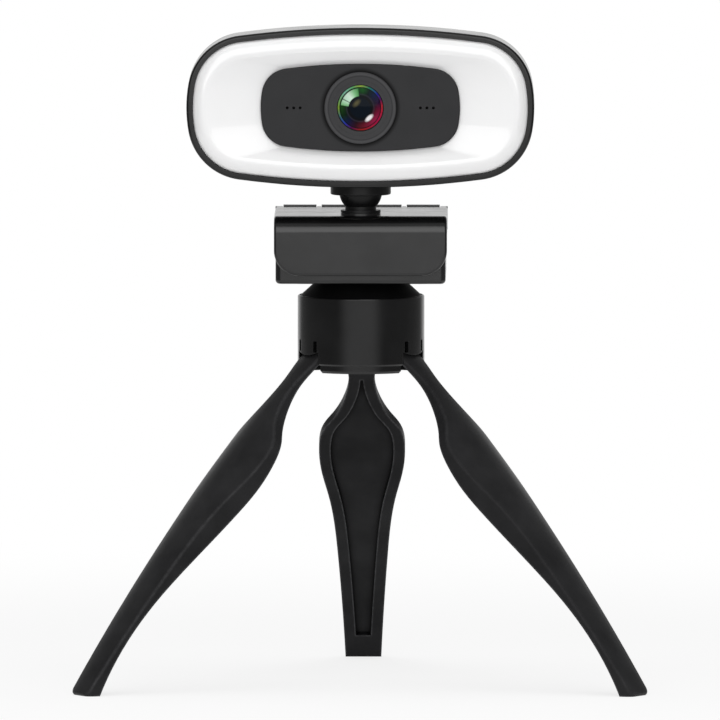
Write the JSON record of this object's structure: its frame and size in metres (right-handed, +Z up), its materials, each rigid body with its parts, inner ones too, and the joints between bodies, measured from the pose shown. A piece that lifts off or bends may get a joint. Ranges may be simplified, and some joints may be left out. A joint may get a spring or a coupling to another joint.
{
  "type": "webcam on tripod",
  "caption": "Ring-light webcam with an oval head on a ball neck, a folding monitor clip and a table tripod with hinged leaf-shaped legs.",
  "frame": {"origin": "on the table, in the middle of the rectangle round the feet", "axes": "+Z up, -Y the way the lens looks, +X to the camera's left hand as it looks out"},
  "size_m": [0.1424, 0.124, 0.1646],
  "materials": {
    "satin_black": "satin moulded",
    "clip_black": "satin moulded",
    "shell_black": "fine satin",
    "rubber_black": "matt",
    "steel": "bright zinc",
    "brass": "turned",
    "nylon": "natural nylon",
    "diffuser_white": "milky gloss",
    "panel_grey": "fine matt",
    "ring_grey": "satin",
    "lens_black": "matt",
    "frame_plastic": "matt",
    "lens_glass": "coated",
    "filter_glass": "coated",
    "board_green": "solder mask",
    "led_cream": "moulded",
    "sensor_dark": "polished",
    "connector_ivory": "moulded",
    "microphone_can": "drawn"
  },
  "bodies": {
    "tripod": {"hub_shell": "satin_black", "hub_base_cap": "satin_black", "base_cap_screw": "steel", "top_platform": "satin_black", "platform_pad": "rubber_black", "platform_screws": "steel", "tripod_screw": "steel", "leg_pins": "steel", "rear_arm": "clip_black", "arm_pad": "rubber_black", "thread_insert": "brass"},
    "leg_rear": {"leg_rear": "satin_black"},
    "leg_left": {"leg_left": "satin_black"},
    "leg_right": {"leg_right": "satin_black"},
    "clip": {"clip_base": "clip_black", "base_pad": "rubber_black", "jaw_pad": "rubber_black", "clip_hinge_pin": "steel"},
    "neck": {"ball_stud": "clip_black", "stud_washer": "steel", "stud_screw": "steel"},
    "ball_seat": {"ball_seat": "nylon"},
    "head": {"socket_cup": "clip_black", "rear_housing": "shell_black", "cable_gland": "rubber_black", "housing_screws": "steel", "front_bezel": "shell_black", "light_diffuser": "diffuser_white", "lens_panel": "panel_grey", "led_board": "board_green", "leds": "led_cream", "front_frame": "frame_plastic", "lens_ring": "ring_grey", "lens_barrel": "lens_black", "front_element": "lens_glass", "inner_element": "lens_glass", "aperture_ring": "lens_black", "lens_holder": "lens_black", "filter_glass": "filter_glass", "image_sensor": "sensor_dark", "camera_board": "board_green", "board_connector": "connector_ivory", "board_screws": "steel", "microphones": "microphone_can"}
  },
  "joints": [
    {"name": "leg_rear_fold", "type": "hinge", "parent": "tripod", "child": "leg_rear", "pos_m": [0, -0.00753, 0.0847], "axis": [-1, 0, 0], "range_deg": [0, 39]},
    {"name": "leg_left_fold", "type": "hinge", "parent": "tripod", "child": "leg_left", "pos_m": [-0.00953, -0.02403, 0.0847], "axis": [0.5, -0.866, 0], "range_deg": [0, 39]},
    {"name": "leg_right_fold", "type": "hinge", "parent": "tripod", "child": "leg_right", "pos_m": [0.00953, -0.02403, 0.0847], "axis": [0.5, 0.866, 0], "range_deg": [0, 39]},
    {"name": "clip_open", "type": "hinge", "parent": "tripod", "child": "clip", "pos_m": [0, -0.00033, 0.1146], "axis": [-1, 0, 0], "range_deg": [0, 110]},
    {"name": "neck_pan", "type": "hinge", "parent": "clip", "child": "neck", "pos_m": [0, -0.03053, 0.118], "axis": [0, 0, 1], "continuous": true},
    {"name": "head_tilt", "type": "hinge", "parent": "neck", "child": "ball_seat", "pos_m": [0, -0.03053, 0.12325], "axis": [1, 0, 0], "range_deg": [-20, 20]},
    {"name": "head_roll", "type": "hinge", "parent": "ball_seat", "child": "head", "pos_m": [0, -0.03053, 0.12325], "axis": [0, 1, 0], "range_deg": [-12, 12]}
  ]
}
